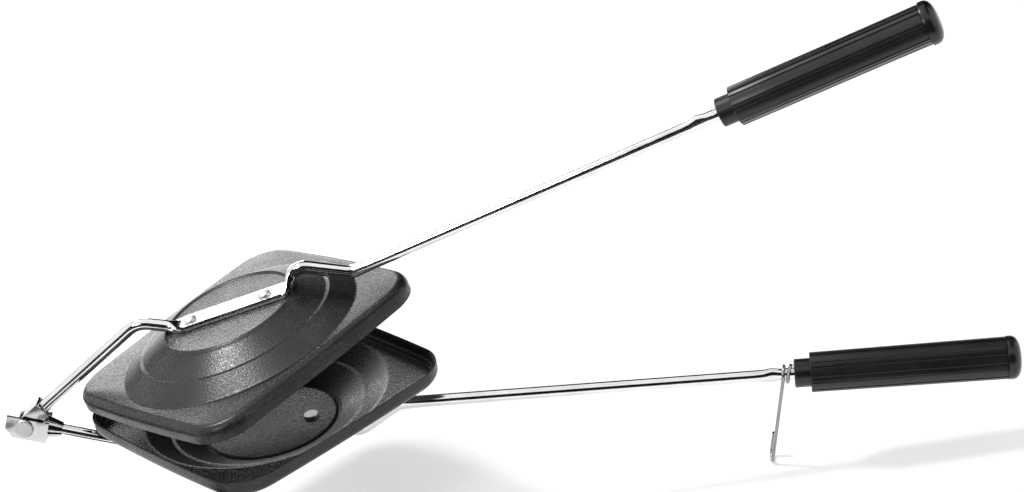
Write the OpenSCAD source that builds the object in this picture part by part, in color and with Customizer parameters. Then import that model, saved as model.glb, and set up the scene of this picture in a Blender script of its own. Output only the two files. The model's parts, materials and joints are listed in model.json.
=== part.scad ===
// Pie iron: two square sheet-metal pans on hinged, bent rods with ribbed hand
// grips and a swinging wire latch. Millimetres, Z up. The lower arm lies along X
// with its pan mouth level, and the upper arm stands open on the hinge rivet.
//
// Each arm is drawn once with its dome towards +Z, the hinge line on the origin
// and the pan mouth just above z = 0. The lower arm is that arm mirrored, and
// the upper arm is turned about the hinge line.

/* [Stance] */
// Angle between the two pan mouths as the iron stands open, degrees
open_angle = 10.9; // [0:0.1:90]
// Gap left between the two pan rims when the iron is shut
rim_gap = 0.3; // [0.1:0.1:2]

/* [Pan] */
// Hinge line to the centre of the pan
pan_x = 114.8; // [90:0.1:150]
// Side of the square pan, rim to opposite rim
pan_side = 129.2; // [124:0.1:160]
// Outside radius of the pan's corners
corner_r = 22.1; // [8:0.1:30]
// Height of the upright skirt, rim to flange
skirt_h = 8; // [4:0.1:16]
// Outside radius of the shoulder between skirt and flange
shoulder_r = 4.4; // [2.5:0.1:8]
// Thickness of the pan's sheet
sheet = 1.6; // [0.8:0.1:3]
// Radius at the foot of the dome
dome_r = 58.2; // [40:0.1:64]
// Radius and height of the narrow step half-way up the dome
step_r = 45.8; // [36:0.1:56]
step_h = 14.3; // [9:0.1:19]
// Width of the step
step_w = 1.7; // [0.5:0.1:5]
// Height of the sunk plateau floor above the rim
plateau_h = 20.4; // [16:0.1:30]
// Radius of the plateau's outer edge, and how far it lies below the floor
plateau_r = 34.3; // [20:0.1:44]
plateau_fall = 0.9; // [0.2:0.1:1.5]
// Height of the rounded bead around the plateau, above its floor
bead_h = 0.5; // [0.2:0.1:2]
// Section radius of that bead
bead_r = 2; // [1:0.1:4]

/* [Rod] */
// Rod diameter
rod_d = 5.6; // [4:0.1:10]
// Rise of the leg that leaves the hinge, degrees
leg_angle = 22.5; // [10:0.5:40]
// Distance of the rod's end from the hinge line
leg_start = 8; // [6:0.5:14]
// Hinge-side bend: position and height of its vertex, and bend radius
bend1_x = 72.5; // [50:0.1:90]
bend1_r = 12; // [5:0.5:20]
// Vertex where the rod comes down onto the plateau
land_x = 88.6; // [70:0.1:100]
// Vertex where the flattened rod leaves the plateau
leave_x = 144.9; // [120:0.1:160]
// Inside-line radius of that turn-up
leave_r = 4; // [2:0.5:10]
// Second bend: position and height of its vertex, and bend radius
bend2_x = 151.7; // [140:0.1:170]
bend2_h = 31.8; // [24:0.1:40]
bend2_r = 8; // [5:0.5:14]
// Third bend: position and height of its vertex, and bend radius
bend3_x = 175.2; // [160:0.1:200]
bend3_h = 19; // [10:0.1:30]
bend3_r = 10; // [5:0.5:20]
// Rise of the long straight run to the grip, degrees
run_angle = 4.75; // [0:0.05:12]
// Third bend to the front of the grip
run_len = 183.4; // [120:0.1:260]
// Width and thickness of the flattened length on the pan
bar_w = 13.5; // [8:0.1:20]
bar_t = 1.9; // [1:0.1:4]
// Taper length at the bar's hinge end
bar_taper = 4; // [1:0.5:10]
// Width of the flattened rod where it turns round again
neck_w = 7; // [4:0.1:12]
// Pinched spot ahead of the grip: distance, thickness, disc radius and dent depth
pinch_gap = 9; // [6:0.1:20]
pinch_t = 3; // [1:0.1:5]
pinch_r = 3.8; // [3:0.1:5]
dent_r = 3.5; // [2:0.1:8]
dent_depth = 0.8; // [0.2:0.1:1.5]
// Diameter and length of the threaded tail, and its start ahead of the washer
tail_d = 5; // [3:0.5:5.5]
tail_len = 9; // [7:0.5:10]
tail_lap = 2; // [0:0.5:4]

/* [Pan rivets] */
// Centre of the pan to each rivet
rivet_dx = 18.8; // [10:0.1:30]
// Shank diameter
rivet_d = 4; // [3:0.1:6]
// Head diameter and height above the bar
rivet_head_d = 6.4; // [5:0.1:10]
rivet_head_h = 2; // [1:0.1:4]
// Closing head inside the pan: diameter and thickness
rivet_foot_d = 7; // [5:0.1:10]
rivet_foot_h = 1.2; // [0.5:0.1:3]

/* [Hinge] */
// Thickness of the hinge brackets' sheet
plate_t = 1.2; // [0.8:0.1:2]
// Length of the inner bracket from the hinge line
lug_len = 13; // [11:0.5:24]
// Start of the inner bracket's back plate
lug_web_x = 3; // [2:0.5:8]
// Side play between the inner and the outer bracket
side_play = 0.15; // [0.05:0.05:0.5]
// Outer bracket: reach behind the hinge line, and heights inside and outside
fork_back = 8.6; // [6:0.1:14]
fork_in = 4.8; // [4:0.1:8]
fork_out = 6; // [5:0.1:9]
// Corner cut of the outer bracket's near cheek, and radius of the far cheek's round end
fork_cut = 4; // [1:0.1:6]
fork_eye_r = 4.2; // [3:0.1:4.8]
// Start and end of the outer bracket's cone on the rod, and its small radius
fork_cone_x = 10; // [8:0.5:14]
fork_cone_end = 17.5; // [16:0.5:40]
fork_cone_r = 3.5; // [3:0.1:5]
// Hinge rivet: shank diameter, head diameter and thickness
pin_d = 4; // [3:0.1:6]
pin_head_d = 9.2; // [6:0.1:14]
pin_head_t = 1.3; // [0.8:0.1:3]
// Closing head on the far side: diameter and height
pin_foot_d = 6; // [5:0.1:8]
pin_foot_h = 1.2; // [0.8:0.1:2.5]

/* [Grip] */
// Collar diameter and length
collar_d = 13.2; // [9:0.1:18]
collar_len = 7.4; // [4:0.1:14]
// Length of the ribbed body
body_len = 89; // [60:1:140]
// Radius of the body at the collar and at the cap
body_r1 = 9.2; // [7:0.1:14]
body_r2 = 9.7; // [7:0.1:14]
// Half width across the two flatter sides
flat_half = 8.6; // [6:0.1:14]
// Radius of the flatter sides
flat_r = 30; // [15:1:80]
// Number of groove pairs, their split in degrees, and groove radius
groove_pairs = 8; // [4:1:12]
groove_split = 7.5; // [4:0.5:12]
groove_r = 0.6; // [0.3:0.05:1]
// Turn of the lower and of the upper grip about its rod, degrees
lower_turn = -64; // [-90:1:90]
upper_turn = -40; // [-90:1:90]
// Pocket for the nut: diameter and depth from the body's end
pocket_d = 12; // [9:0.1:14]
pocket_len = 12.4; // [8:0.1:20]

/* [Grip fixing] */
// Washer diameter and thickness
washer_d = 11; // [8:0.1:14]
washer_t = 1; // [0.5:0.1:2]
// Nut width across flats and thickness
nut_af = 8; // [6:0.5:10]
nut_t = 4; // [2:0.5:6]
// Cap: rim radius, rim length, dome height and plug length
cap_r = 10; // [8:0.1:14]
cap_rim = 3; // [1:0.1:6]
cap_dome = 3.5; // [1:0.1:8]
plug_len = 3.4; // [2:0.1:6]

/* [Latch] */
// Wire diameter
wire_d = 1.7; // [1:0.1:3]
// Lower rod's axis to the middle of the hook's bend
latch_len = 47.9; // [30:0.1:60]
// Lean of the latch towards the hinge, degrees
latch_lean = 9.7; // [0:0.1:20]
// Turn of the hanging latch about the rod, degrees
latch_hang = 4; // [0:0.5:30]
// Radius of the hook's bend and length of its short leg
hook_r = 4; // [3:0.1:8]
hook_len = 8; // [5:0.1:25]
// Front of the grip to the latch's long leg
latch_gap = 5.2; // [3:0.1:10]
// Advance of the wire in its turn around the rod
coil_lead = 2.2; // [2.2:0.1:4]
// Height of the wire's free end above the rod's axis
stub_len = 6.4; // [3:0.1:12]

/* [Fits] */
// Radial clearance of the hinge rivet in the inner bracket
pin_fit = 0.05; // [0.01:0.01:0.1]
// Radial clearance of seated shanks, rods, nuts and plugs
seat_fit = 0.03; // [0.01:0.01:0.1]
// Radial clearance of the latch wire around the rod
latch_fit = 0.1; // [0.05:0.01:0.1]

/* [Hidden] */
$fn = 96;
cut = 1; // overshoot of cutting solids
hair = 0.01; // how much slimmer one of two joined lengths is, to join them cleanly
lap = 0.2; // how far the slimmer one runs into the other
lap_angle = 2; // the same for the bar's bend, in degrees
dome_dip = 1; // how far the dome's slope runs on inside the flange, for a clean joint
step_fall = 0.2; // fall of the step across its width
// radius of the dome's slope at that depth
foot_r = dome_r + dome_dip * (dome_r - step_r - step_w) / (step_h - step_fall - skirt_h);
stack = rim_gap / 2;
rod_r = rod_d / 2;
wire_r = wire_d / 2;
corner_c = pan_side / 2 - corner_r;
bar_mid = plateau_h + stack + bar_t / 2;
bend1_h = bend1_x * tan(leg_angle);
cap_ball = (cap_r * cap_r + cap_dome * cap_dome) / (2 * cap_dome);
lug_half = rod_r + plate_t + seat_fit;
fork_y = lug_half + side_play;
fork_half = fork_y + plate_t;
head_ball = (pow(rivet_head_d / 2, 2) + pow(rivet_head_h, 2)) / (2 * rivet_head_h);
foot_ball = (pow(pin_foot_d / 2, 2) + pow(pin_foot_h, 2)) / (2 * pin_foot_h);
grip_len = collar_len + body_len;
seat_s = grip_len - pocket_len;
tail_s = run_len + seat_s - tail_lap;
coil_r = rod_r + latch_fit + wire_r;
coil_tilt = atan2(coil_lead / 2, 2 * coil_r);
latch_s = run_len - latch_gap;
// how far the latch hook reaches below the hinge line, and the length either side of it
hook_down = cos(latch_lean) * cos(latch_hang) * cos(run_angle) - sin(latch_lean) * sin(run_angle);
hook_side = sin(latch_hang) * cos(run_angle);
base_z = bend3_h + latch_s * sin(run_angle) + (latch_len - hook_r) * hook_down
  + (coil_r - hook_r) * hook_side + hook_r * sqrt(pow(hook_down, 2) + pow(hook_side, 2)) + wire_r;
back_x = fork_back * cos(leg_angle) + (fork_out - fork_cut) * sin(leg_angle);
tip_x = bend3_x + (run_len + grip_len + cap_rim + cap_dome - cap_ball) * cos(run_angle) + cap_ball;
mid_x = (tip_x - back_x) / 2;

pan_black = [0.17, 0.17, 0.18];
chrome = [0.82, 0.83, 0.85];
zinc = [0.7, 0.7, 0.72];
grip_black = [0.06, 0.06, 0.07];

// ---- places ------------------------------------------------------------

module lower_arm() translate([-mid_x, 0, base_z]) mirror([0, 0, 1]) children();

module upper_arm() translate([-mid_x, 0, base_z]) rotate([0, -open_angle, 0]) children();

// along the leg from the hinge line
module on_leg() rotate([0, -leg_angle, 0]) children();

// along the long straight run, from the third bend
module on_run(s) translate([bend3_x, 0, bend3_h]) rotate([0, -run_angle, 0])
  translate([s, 0, 0]) children();

// a turned shape along +X
module along_x() rotate([0, 90, 0]) children();

// ---- pan ---------------------------------------------------------------

// half section of the pan's edge, out from a corner's centre: skirt, shoulder, flange
module edge_section(inset, foot) {
  w = corner_r - inset;
  h = skirt_h - inset;
  r = shoulder_r - inset;
  translate([0, -foot]) square([w - r, h + foot]);
  translate([0, -foot]) square([w, h + foot - r]);
  translate([w - r, h - r]) circle(r);
}

module pan_block(inset, foot) rotate(45) {
  for (side = [0 : 3]) rotate(90 * side) translate([corner_c, corner_c, 0]) {
    rotate([90, 0, 0]) linear_extrude(2 * corner_c) edge_section(inset, foot);
    rotate_extrude(angle = 90) edge_section(inset, foot);
  }
  translate([-corner_c, -corner_c, -foot])
    cube([2 * corner_c, 2 * corner_c, skirt_h - inset + foot]);
}

// half section of the stepped dome; the inner face is the same line one sheet lower
module dome_section(drop) {
  translate([0, -drop]) {
    polygon([[0, 0], [foot_r, 0], [foot_r, skirt_h - dome_dip],
      [step_r + step_w, step_h - step_fall], [step_r, step_h], [plateau_r, plateau_h - plateau_fall],
      [plateau_r - bead_r, plateau_h], [0, plateau_h]]);
    translate([plateau_r - bead_r - 0.3, plateau_h + bead_h - bead_r]) circle(bead_r);
  }
}

module pan_dome(drop) rotate_extrude() dome_section(drop);

module pan() color(pan_black) translate([pan_x, 0, stack]) difference() {
  union() {
    pan_block(0, 0);
    pan_dome(0);
  }
  pan_block(sheet, cut);
  pan_dome(sheet);
  for (x = [-rivet_dx, rivet_dx]) translate([x, 0, plateau_h - sheet - cut])
    cylinder(r = rivet_d / 2 + seat_fit, h = sheet + 2 * cut);
}

module pan_rivet(x) color(zinc) translate([pan_x + x, 0, stack]) {
  translate([0, 0, plateau_h - sheet - rivet_foot_h]) cylinder(r = rivet_foot_d / 2, h = rivet_foot_h);
  translate([0, 0, plateau_h - sheet]) cylinder(r = rivet_d / 2, h = sheet + bar_t);
  translate([0, 0, plateau_h + bar_t]) intersection() {
    translate([0, 0, rivet_head_h - head_ball]) sphere(head_ball);
    cylinder(r = rivet_head_d / 2, h = rivet_head_h);
  }
}

// ---- rod ---------------------------------------------------------------

function heading(a, b) = atan2(b[1] - a[1], b[0] - a[0]);
function away(a, turn, d) = [a[0] + d * cos(turn), a[1] + d * sin(turn)];

// straight round length between two points of the XZ plane
module round_run(a, b) translate([a[0], 0, a[1]]) rotate([0, 90 - heading(a, b), 0])
  translate([0, 0, -lap]) cylinder(r = rod_r - hair, h = norm(b - a) + 2 * lap);

// bend of radius r at vertex v, from heading h1 to heading h2, run on by an angle over
// at each end; children give the section
module turned(v, h1, h2, r, over = 0) {
  side = sign(h2 - h1);
  start = away(v, h1, -r * tan(abs(h2 - h1) / 2));
  centre = away(start, h1 + 90 * side, r);
  translate([centre[0], 0, centre[1]]) rotate([90, 0, 0])
    rotate((side > 0 ? h1 - 90 : h2 + 90) - over)
      rotate_extrude(angle = abs(h2 - h1) + 2 * over) translate([r, 0]) children();
}

leg_from = [leg_start * cos(leg_angle), leg_start * sin(leg_angle)];
v1 = [bend1_x, bend1_h];
v2 = [land_x, bar_mid];
v3 = [leave_x, bar_mid];
v4 = [bend2_x, bend2_h];
v5 = [bend3_x, bend3_h];
h12 = heading(v1, v2);
h34 = heading(v3, v4);
h45 = heading(v4, v5);
set1 = bend1_r * tan((leg_angle - h12) / 2);
set3 = leave_r * tan(h34 / 2);
set4 = bend2_r * tan((h34 - h45) / 2);
set5 = bend3_r * tan((run_angle - h45) / 2);

module flat_bar() {
  x0 = land_x - 1;
  x1 = leave_x - set3;
  translate([0, 0, bar_mid - bar_t / 2]) linear_extrude(bar_t)
    polygon([[x0, -neck_w / 2], [x0 + bar_taper, -bar_w / 2], [x1, -bar_w / 2],
      [x1, bar_w / 2], [x0 + bar_taper, bar_w / 2], [x0, neck_w / 2]]);
  turned(v3, 0, h34, leave_r, lap_angle) square([bar_t - 2 * hair, bar_w - 2 * hair], center = true);
  translate([leave_x, 0, bar_mid]) rotate([0, -h34, 0]) translate([0, 0, -bar_t / 2])
    linear_extrude(bar_t) polygon([[set3, -bar_w / 2], [norm(v4 - v3) - set4, -neck_w / 2],
      [norm(v4 - v3) - set4, neck_w / 2], [set3, bar_w / 2]]);
}

module rod() color(chrome) difference() {
  union() {
    round_run(leg_from, away(v1, leg_angle, -set1));
    turned(v1, leg_angle, h12, bend1_r) circle(rod_r);
    round_run(away(v1, h12, set1), v2);
    translate([v2[0], 0, v2[1]]) sphere(rod_r + 5 * hair);
    flat_bar();
    translate([away(v4, h34, -set4)[0], 0, away(v4, h34, -set4)[1]]) sphere(rod_r + 5 * hair);
    turned(v4, h34, h45, bend2_r) circle(rod_r);
    round_run(away(v4, h45, set4), away(v5, h45, -set5));
    turned(v5, h45, run_angle, bend3_r) circle(rod_r);
    on_run(set5 - lap) along_x() cylinder(r = rod_r - hair, h = tail_s + lap - set5);
    on_run(tail_s - cut) along_x() cylinder(r = tail_d / 2, h = tail_len + cut);
    on_run(run_len - pinch_gap) rotate([90, 0, 0]) cylinder(r = pinch_r, h = pinch_t, center = true);
  }
  // the flattened length is flush underneath
  translate([land_x - bar_w, -bar_w, plateau_h + stack - bar_w]) cube([bar_w + rod_d, 2 * bar_w, bar_w]);
  for (x = [-rivet_dx, rivet_dx]) translate([pan_x + x, 0, plateau_h])
    cylinder(r = rivet_d / 2 + seat_fit, h = bar_t + 2 * cut);
  for (y = [-1, 1]) on_run(run_len - pinch_gap) translate([0, y * (rod_r + dent_r - dent_depth), 0])
    cylinder(r = dent_r, h = 2 * rod_d, center = true);
}

// ---- hinge -------------------------------------------------------------

module across_y(r, half) rotate([90, 0, 0]) cylinder(r = r, h = 2 * half, center = true);

module lug() color(chrome) on_leg() difference() {
  union() {
    across_y(lug_half, lug_half);
    translate([0, -lug_half, -lug_half]) cube([lug_len, 2 * lug_half, 2 * lug_half]);
  }
  // the channel that holds the rod, open towards the other arm
  translate([0, plate_t - lug_half, -lug_half - cut])
    cube([lug_len + cut, 2 * (lug_half - plate_t), 2 * lug_half - plate_t + cut]);
  // clear ends of the two cheeks around the rivet
  translate([-lug_len, plate_t - lug_half, -lug_half - cut])
    cube([lug_len + lug_web_x, 2 * (lug_half - plate_t), 2 * lug_half + 2 * cut]);
  across_y(pin_d / 2 + pin_fit, fork_half);
}

module near_cheek() polygon([[-fork_back, -fork_in], [-fork_back, fork_out - fork_cut],
  [fork_cut - fork_back, fork_out], [fork_cone_x + plate_t, fork_out],
  [fork_cone_x + plate_t, -fork_in]]);

module far_cheek() {
  circle(fork_eye_r);
  polygon([[0, -fork_eye_r], [0, fork_out], [fork_cone_x + plate_t, fork_out],
    [fork_cone_x + plate_t, -fork_in]]);
}

module cheek_at(y) translate([0, y, 0]) rotate([90, 0, 0])
  linear_extrude(plate_t, center = true) children();

module fork() color(chrome) on_leg() difference() {
  union() {
    cheek_at(-fork_y - plate_t / 2) near_cheek();
    cheek_at(fork_y + plate_t / 2) far_cheek();
    translate([fork_cut - fork_back, -fork_half, fork_out - plate_t])
      cube([fork_back - fork_cut + fork_cone_x + plate_t, 2 * fork_half, plate_t]);
    translate([fork_cone_x, 0, 0]) along_x()
      cylinder(r1 = fork_half, r2 = fork_cone_r, h = fork_cone_end - fork_cone_x);
  }
  along_x() cylinder(r = rod_r + seat_fit, h = fork_cone_end + cut);
  across_y(pin_d / 2 + seat_fit, fork_half + cut);
}

module pin() color(zinc) {
  across_y(pin_d / 2, fork_half);
  translate([0, -fork_half, 0]) rotate([90, 0, 0]) cylinder(r = pin_head_d / 2, h = pin_head_t);
  translate([0, fork_half, 0]) rotate([-90, 0, 0]) intersection() {
    translate([0, 0, pin_foot_h - foot_ball]) sphere(foot_ball);
    cylinder(r = pin_foot_d / 2, h = pin_foot_h);
  }
}

// ---- grip --------------------------------------------------------------

// distance from the axis to the flatter side, at angle a from its middle
function flat_line(a) = sqrt(flat_r * flat_r - pow((flat_r - flat_half) * sin(a), 2))
  - (flat_r - flat_half) * abs(cos(a));

module groove(a) {
  r1 = min(body_r1, flat_line(a));
  r2 = min(body_r2, flat_line(a));
  rotate([a, 0, 0]) translate([-cut, 0, r1]) rotate([0, -atan2(r2 - r1, body_len), 0])
    along_x() cylinder(r = groove_r, h = body_len + 2 * cut);
}

module flat_side(z) translate([-cut, 0, z]) along_x() cylinder(r = flat_r, h = body_len + 2 * cut);

// the middles of the flatter sides lie on local Z
module grip(turn) color(grip_black) on_run(run_len) rotate([turn, 0, 0]) difference() {
  union() {
    along_x() cylinder(r = collar_d / 2, h = collar_len);
    translate([collar_len, 0, 0]) intersection() {
      along_x() cylinder(r1 = body_r1, r2 = body_r2, h = body_len);
      flat_side(flat_half - flat_r);
      flat_side(flat_r - flat_half);
    }
  }
  translate([-cut, 0, 0]) along_x() cylinder(r = rod_r + seat_fit, h = seat_s + 2 * cut);
  translate([seat_s, 0, 0]) along_x() cylinder(r = pocket_d / 2, h = pocket_len + cut);
  translate([collar_len, 0, 0]) for (k = [0 : groove_pairs - 1], s = [-1, 1])
    groove((k + 0.5) * 360 / groove_pairs + s * groove_split);
}

module grip_washer() color(zinc) on_run(run_len + seat_s) along_x() difference() {
  cylinder(r = washer_d / 2, h = washer_t);
  translate([0, 0, -cut]) cylinder(r = tail_d / 2 + seat_fit, h = washer_t + 2 * cut);
}

module grip_nut() color(zinc) on_run(run_len + seat_s + washer_t) along_x() difference() {
  cylinder(r = nut_af / 2 / cos(30), h = nut_t, $fn = 6);
  translate([0, 0, -cut]) cylinder(r = tail_d / 2 + seat_fit, h = nut_t + 2 * cut);
}

module end_cap() color(grip_black) on_run(run_len + grip_len) along_x() {
  translate([0, 0, -plug_len]) cylinder(r = pocket_d / 2 - seat_fit, h = plug_len + cut);
  intersection() {
    cylinder(r = cap_r, h = cap_rim + cap_dome);
    translate([0, 0, cap_rim + cap_dome - cap_ball]) sphere(cap_ball);
  }
}

// ---- latch -------------------------------------------------------------

// half a turn of wire around the rod, on its inner (-1) or outer (1) side; one half
// is a hair slimmer and runs a little way into its neighbours
module half_coil(x, side, slim, over) translate([x, 0, 0]) rotate([0, 0, side * coil_tilt])
  rotate([side * 90, 0, 0]) along_x() rotate(-over) rotate_extrude(angle = 180 + 2 * over)
    translate([coil_r / cos(coil_tilt), 0]) circle(wire_r - slim);

module latch() color(chrome) on_run(latch_s) rotate([-latch_hang, 0, 0]) {
  half_coil(coil_lead / 4, -1, 0, 0);
  half_coil(coil_lead * 3 / 4, 1, hair, 3);
  // free end
  translate([coil_lead, -coil_r, -stub_len]) cylinder(r = wire_r, h = stub_len);
  // long leg and hook
  translate([0, -coil_r, 0]) {
    sphere(wire_r + 5 * hair);
    rotate([0, -latch_lean, 0]) {
      cylinder(r = wire_r - hair, h = latch_len - hook_r + lap);
      translate([0, hook_r, latch_len - hook_r]) {
        rotate([90, 0, 90]) rotate_extrude(angle = 180) translate([hook_r, 0]) circle(wire_r);
        translate([0, hook_r, -hook_len]) {
          cylinder(r = wire_r - hair, h = hook_len + lap);
          sphere(wire_r);
        }
      }
    }
  }
}

// ---- assembly ----------------------------------------------------------

module lower_pan() lower_arm() pan();
module upper_pan() upper_arm() pan();
module lower_rod() lower_arm() rod();
module upper_rod() upper_arm() rod();
module lower_front_rivet() lower_arm() pan_rivet(-rivet_dx);
module lower_rear_rivet() lower_arm() pan_rivet(rivet_dx);
module upper_front_rivet() upper_arm() pan_rivet(-rivet_dx);
module upper_rear_rivet() upper_arm() pan_rivet(rivet_dx);
module hinge_fork() lower_arm() fork();
module hinge_lug() upper_arm() lug();
module hinge_rivet() lower_arm() pin();
module lower_grip() lower_arm() grip(lower_turn);
module upper_grip() upper_arm() grip(upper_turn);
module lower_grip_washer() lower_arm() grip_washer();
module upper_grip_washer() upper_arm() grip_washer();
module lower_grip_nut() lower_arm() grip_nut();
module upper_grip_nut() upper_arm() grip_nut();
module lower_end_cap() lower_arm() end_cap();
module upper_end_cap() upper_arm() end_cap();
module wire_latch() lower_arm() latch();

lower_pan();
upper_pan();
lower_rod();
upper_rod();
lower_front_rivet();
lower_rear_rivet();
upper_front_rivet();
upper_rear_rivet();
hinge_fork();
hinge_lug();
hinge_rivet();
lower_grip();
upper_grip();
lower_grip_washer();
upper_grip_washer();
lower_grip_nut();
upper_grip_nut();
lower_end_cap();
upper_end_cap();
wire_latch();
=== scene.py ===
"""Pie iron: two square pans of coated sheet metal, each riveted under a bent chrome rod, hinged
at one end, with a ribbed grip on the other and a wire latch hanging from the lower rod.

Metres throughout. Each arm's pieces are shaped dome up with the hinge line on the origin, as
they come off the bench, and then laid on the lower and on the upper arm.
"""
import json
import math

import bmesh
import bpy
from mathutils import Matrix, Vector


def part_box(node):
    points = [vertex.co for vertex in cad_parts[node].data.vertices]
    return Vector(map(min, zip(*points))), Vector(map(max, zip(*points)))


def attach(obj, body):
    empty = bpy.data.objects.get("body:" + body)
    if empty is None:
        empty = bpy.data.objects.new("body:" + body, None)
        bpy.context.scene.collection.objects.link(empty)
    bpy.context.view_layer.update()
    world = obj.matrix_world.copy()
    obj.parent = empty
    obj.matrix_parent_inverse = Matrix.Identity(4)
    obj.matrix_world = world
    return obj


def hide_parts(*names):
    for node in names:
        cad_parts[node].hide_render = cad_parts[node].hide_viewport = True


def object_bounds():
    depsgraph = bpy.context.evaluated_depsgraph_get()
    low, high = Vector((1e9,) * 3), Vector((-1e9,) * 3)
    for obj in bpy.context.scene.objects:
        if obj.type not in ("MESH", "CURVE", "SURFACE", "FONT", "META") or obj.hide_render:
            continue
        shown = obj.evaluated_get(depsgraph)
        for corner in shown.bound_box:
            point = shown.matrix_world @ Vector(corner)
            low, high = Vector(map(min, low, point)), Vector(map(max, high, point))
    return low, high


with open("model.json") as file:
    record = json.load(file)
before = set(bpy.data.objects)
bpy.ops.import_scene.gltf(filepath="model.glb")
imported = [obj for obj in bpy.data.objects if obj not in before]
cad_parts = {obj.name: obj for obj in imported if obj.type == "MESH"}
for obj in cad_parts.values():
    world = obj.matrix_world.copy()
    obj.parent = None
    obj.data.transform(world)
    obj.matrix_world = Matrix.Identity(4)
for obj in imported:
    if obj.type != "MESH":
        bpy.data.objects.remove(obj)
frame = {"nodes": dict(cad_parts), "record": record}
cad_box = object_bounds()

# ---- Stand, camera and lights ----------------------------------------------
# A plain pale table with soft lamps from the front left, the back left and high up, and dark
# cards that are seen only as reflections, as a photographer of metalware sets them up.

CAMERA_AT = (0.16824, -1.05956, 0.66933)
CAMERA_TURN = (62.856, 11.112, 2.472)
SENSOR = 36.0
LENS = 93.68

bpy.ops.object.select_all(action="DESELECT")
bpy.ops.object.camera_add(location=CAMERA_AT, rotation=[math.radians(a) for a in CAMERA_TURN])
camera = bpy.context.object
camera.data.sensor_fit = "HORIZONTAL"
camera.data.sensor_width = SENSOR
camera.data.lens = LENS
bpy.context.scene.camera = camera


def add_node(tree, kind, **settings):
    """A new node in a material, with its settings and its unlinked inputs."""
    made = tree.nodes.new(kind)
    for name, value in settings.items():
        if hasattr(made, name):
            setattr(made, name, value)
        else:
            made.inputs[name.replace("_", " ")].default_value = value
    return made


def soft_lamp(name, place, aim, width, watts):
    """A square softbox at a place, facing a point."""
    bpy.ops.object.light_add(type="AREA", location=place)
    lamp = bpy.context.object
    lamp.name = name
    lamp.data.shape = "SQUARE"
    lamp.data.size = width
    lamp.data.energy = watts
    lamp.rotation_euler = (Vector(aim) - Vector(place)).to_track_quat("-Z", "Y").to_euler()


PANS_AT = (-0.11, 0.0, 0.09)
soft_lamp("high_left_lamp", (-0.66, 0.26, 1.28), PANS_AT, 0.20, 8.0)
soft_lamp("front_left_lamp", (-0.80, -1.20, 1.05), PANS_AT, 0.40, 6.0)
soft_lamp("back_left_softbox", (-0.75, 1.60, 0.42), PANS_AT, 0.85, 9.0)

world = bpy.data.worlds.new("white_room")
world.use_nodes = True
bpy.context.scene.world = world
tree = world.node_tree
tree.nodes.clear()
rays = add_node(tree, "ShaderNodeLightPath")
seen = add_node(tree, "ShaderNodeMath", operation="MAXIMUM")
also = add_node(tree, "ShaderNodeMath", operation="MAXIMUM")
room = add_node(tree, "ShaderNodeBackground", Color=(1, 1, 1, 1), Strength=0.55)
white = add_node(tree, "ShaderNodeBackground", Color=(1, 1, 1, 1), Strength=1.0)
mix = add_node(tree, "ShaderNodeMixShader")
out = add_node(tree, "ShaderNodeOutputWorld")
tree.links.new(rays.outputs["Is Camera Ray"], seen.inputs[0])
tree.links.new(rays.outputs["Is Glossy Ray"], seen.inputs[1])
tree.links.new(seen.outputs[0], also.inputs[0])
tree.links.new(rays.outputs["Is Transmission Ray"], also.inputs[1])
tree.links.new(also.outputs[0], mix.inputs[0])
tree.links.new(room.outputs[0], mix.inputs[1])
tree.links.new(white.outputs[0], mix.inputs[2])
tree.links.new(mix.outputs[0], out.inputs[0])

TABLE_WIDTH = 30.0
TABLE_GAP = 0.0002
TABLE_WHITE = 0.93
TABLE_GLOW = 0.24
bpy.ops.mesh.primitive_plane_add(size=TABLE_WIDTH, location=(0, 0, cad_box[0][2] - TABLE_GAP))
table = bpy.context.object
table.name = "table"
table_white = bpy.data.materials.new("table_white")
table_white.use_nodes = True
tree = table_white.node_tree
bsdf = tree.nodes["Principled BSDF"]
bsdf.inputs["Base Color"].default_value = (TABLE_WHITE, TABLE_WHITE, TABLE_WHITE, 1)
bsdf.inputs["Roughness"].default_value = 0.9
bsdf.inputs["Specular IOR Level"].default_value = 0.0
bsdf.inputs["Emission Color"].default_value = (1, 1, 1, 1)
bsdf.inputs["Emission Strength"].default_value = TABLE_GLOW
table.data.materials.append(table_white)


def plain_card(name, tone):
    """The matt stuff of a card."""
    stuff = bpy.data.materials.new(name)
    stuff.use_nodes = True
    bsdf = stuff.node_tree.nodes["Principled BSDF"]
    bsdf.inputs["Base Color"].default_value = (tone, tone, tone, 1)
    bsdf.inputs["Specular IOR Level"].default_value = 0.0
    return stuff


def dark_card(name, place, turn, size, stuff):
    """A dark card that only mirror reflections see."""
    bpy.ops.mesh.primitive_plane_add(size=1, location=place, rotation=[math.radians(a) for a in turn])
    card = bpy.context.object
    card.name = name
    card.scale = (size[0], size[1], 1)
    for ray in ("camera", "diffuse", "shadow", "transmission", "volume_scatter"):
        setattr(card, "visible_" + ray, False)
    card.data.materials.append(stuff)


card_black = plain_card("card_black", 0.01)
card_grey = plain_card("card_grey", 0.12)
dark_card("camera_side_card", (0.0, -1.70, 0.95), (90, 0, 0), (4.4, 1.82), card_black)
dark_card("front_floor_card", (0.0, -1.02, 0.004), (0, 0, 0), (4.4, 1.36), card_black)
dark_card("back_card", (0.0, 2.30, 1.35), (90, 0, 0), (5.0, 2.7), card_black)
dark_card("high_right_card", (0.70, 0.50, 1.25), (0, 25, 0), (0.7, 1.4), card_black)
dark_card("left_floor_card", (-0.56, 0.10, 0.004), (0, 0, 0), (0.44, 0.44), card_black)
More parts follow.
